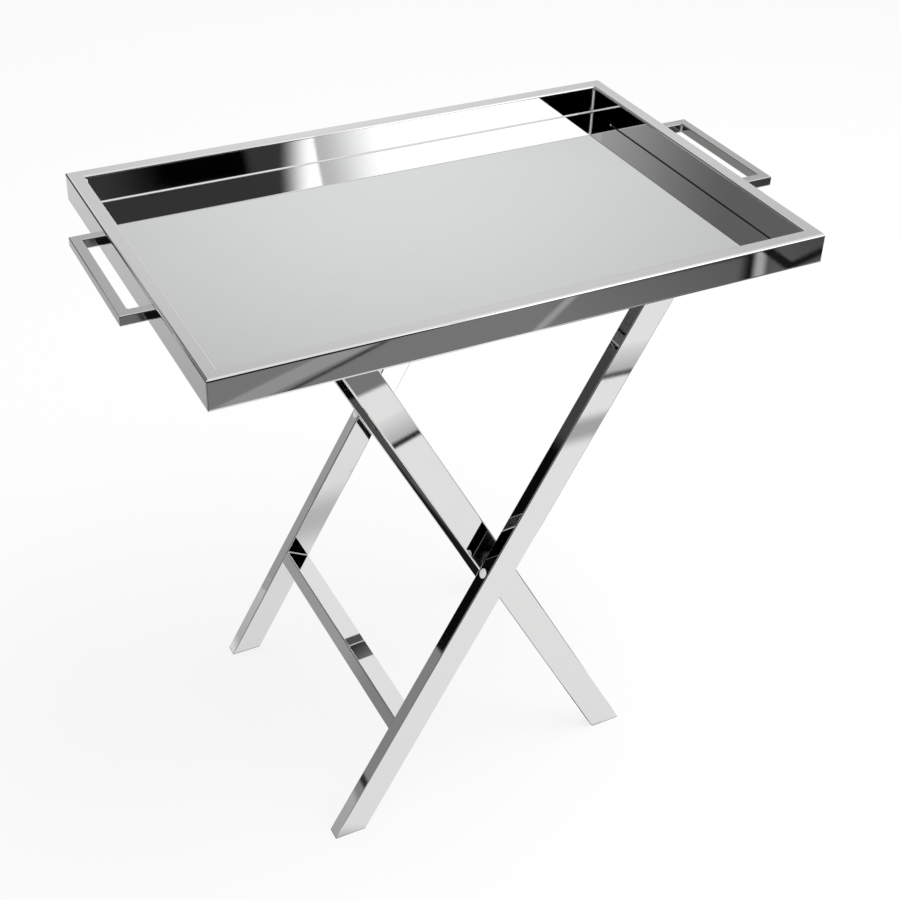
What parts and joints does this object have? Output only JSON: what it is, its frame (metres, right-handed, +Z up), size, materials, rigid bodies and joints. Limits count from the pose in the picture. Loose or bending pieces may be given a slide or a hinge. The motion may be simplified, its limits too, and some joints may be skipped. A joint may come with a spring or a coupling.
{
  "type": "folding tray table",
  "caption": "Folding tray table: a lift-off mirror-polished metal tray with end handles on a crossed-leg tube stand with a low stretcher.",
  "frame": {"origin": "on the floor, under the middle of the tray", "axes": "+X along the tray's long side, towards the top of the outer frame; +Y to the back; +Z up"},
  "size_m": [0.662, 0.4, 0.628],
  "materials": {
    "polished_tube": "mirror polished",
    "polished_sheet": "mirror polished",
    "zinc_steel": "zinc plated",
    "collar_steel": "satin",
    "foot_plastic": "matte grey",
    "bush_plastic": "matte black",
    "white_plastic": "gloss white",
    "pad_rubber": "matte black"
  },
  "bodies": {
    "outer_frame": {"outer_leg_front": "polished_tube", "outer_leg_back": "polished_tube", "outer_stretcher": "polished_tube", "outer_top_bar": "polished_tube", "outer_foot_glides": "foot_plastic", "outer_leg_caps": "foot_plastic", "outer_rest_pads": "pad_rubber", "pivot_bolts": "zinc_steel", "bolt_washers": "zinc_steel", "pivot_spacers": "collar_steel", "pivot_blocks": "zinc_steel", "block_screws": "zinc_steel", "screw_caps": "white_plastic"},
    "inner_frame": {"inner_leg_front": "polished_tube", "inner_leg_back": "polished_tube", "inner_top_bar": "polished_tube", "inner_foot_glides": "foot_plastic", "inner_leg_caps": "foot_plastic", "inner_rest_pads": "pad_rubber", "pivot_bushes": "bush_plastic"},
    "tray": {"tray_front_rail": "polished_tube", "tray_back_rail": "polished_tube", "tray_left_rail": "polished_tube", "tray_right_rail": "polished_tube", "tray_floor": "polished_sheet", "handle_left": "polished_tube", "handle_right": "polished_tube", "cleat_left": "zinc_steel", "cleat_right": "zinc_steel", "floor_studs": "zinc_steel", "cleat_nuts": "zinc_steel"}
  },
  "joints": [
    {"name": "tray_lift", "type": "slide", "parent": "outer_frame", "child": "tray", "axis": [0, 0, 1], "range_m": [0, 0.3]},
    {"name": "stand_fold", "type": "hinge", "parent": "outer_frame", "child": "inner_frame", "pos_m": [0, 0, 0.29765], "axis": [0, 1, 0], "range_deg": [0, 48.5]}
  ],
  "couplings": [
    {"joint": "stand_fold", "follows": "tray_lift", "rad_per_m": 2.82}
  ]
}
